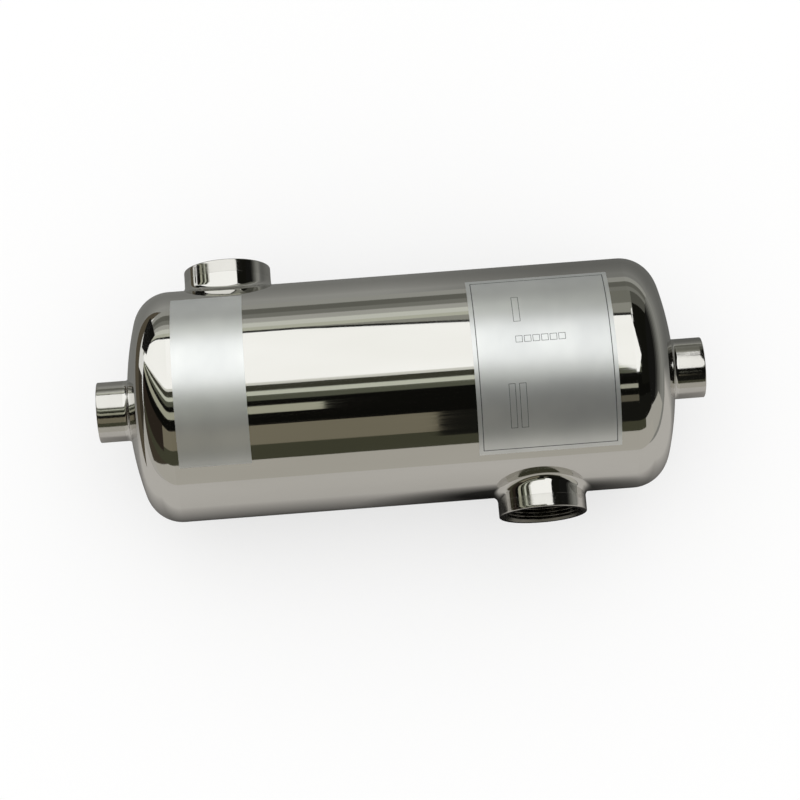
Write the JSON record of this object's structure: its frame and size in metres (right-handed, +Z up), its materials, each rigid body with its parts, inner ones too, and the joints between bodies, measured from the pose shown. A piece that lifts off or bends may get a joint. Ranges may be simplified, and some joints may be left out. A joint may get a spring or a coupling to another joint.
{
  "type": "shell and tube heat exchanger",
  "caption": "Polished stainless shell and tube heat exchanger: a barrel with domed heads, threaded end ports and offset threaded side ports.",
  "frame": {"origin": "under the middle of the barrel, on the surface that the barrel lies on", "axes": "+X along the barrel towards the right head, +Y towards the rear side port, +Z up through the labels"},
  "size_m": [0.381, 0.173, 0.1453],
  "materials": {
    "polished_steel": "mirror polished",
    "turned_steel": "turned",
    "tube_steel": "drawn",
    "label_foil": "satin"
  },
  "bodies": {
    "root": {"barrel": "polished_steel", "left_head": "polished_steel", "right_head": "polished_steel", "rear_radial_socket": "turned_steel", "front_radial_socket": "turned_steel", "left_axial_socket": "turned_steel", "right_axial_socket": "turned_steel", "left_tube_sheet": "tube_steel", "right_tube_sheet": "tube_steel", "left_baffle": "tube_steel", "right_baffle": "tube_steel", "tube_01": "tube_steel", "tube_02": "tube_steel", "tube_03": "tube_steel", "tube_04": "tube_steel", "tube_05": "tube_steel", "tube_06": "tube_steel", "tube_07": "tube_steel", "tube_08": "tube_steel", "tube_09": "tube_steel", "tube_10": "tube_steel", "tube_11": "tube_steel", "tube_12": "tube_steel", "tube_13": "tube_steel", "tube_14": "tube_steel", "tube_15": "tube_steel", "tube_16": "tube_steel", "tube_17": "tube_steel", "tube_18": "tube_steel", "tube_19": "tube_steel", "rating_label": "label_foil", "notice_label": "label_foil"}
  },
  "joints": []
}
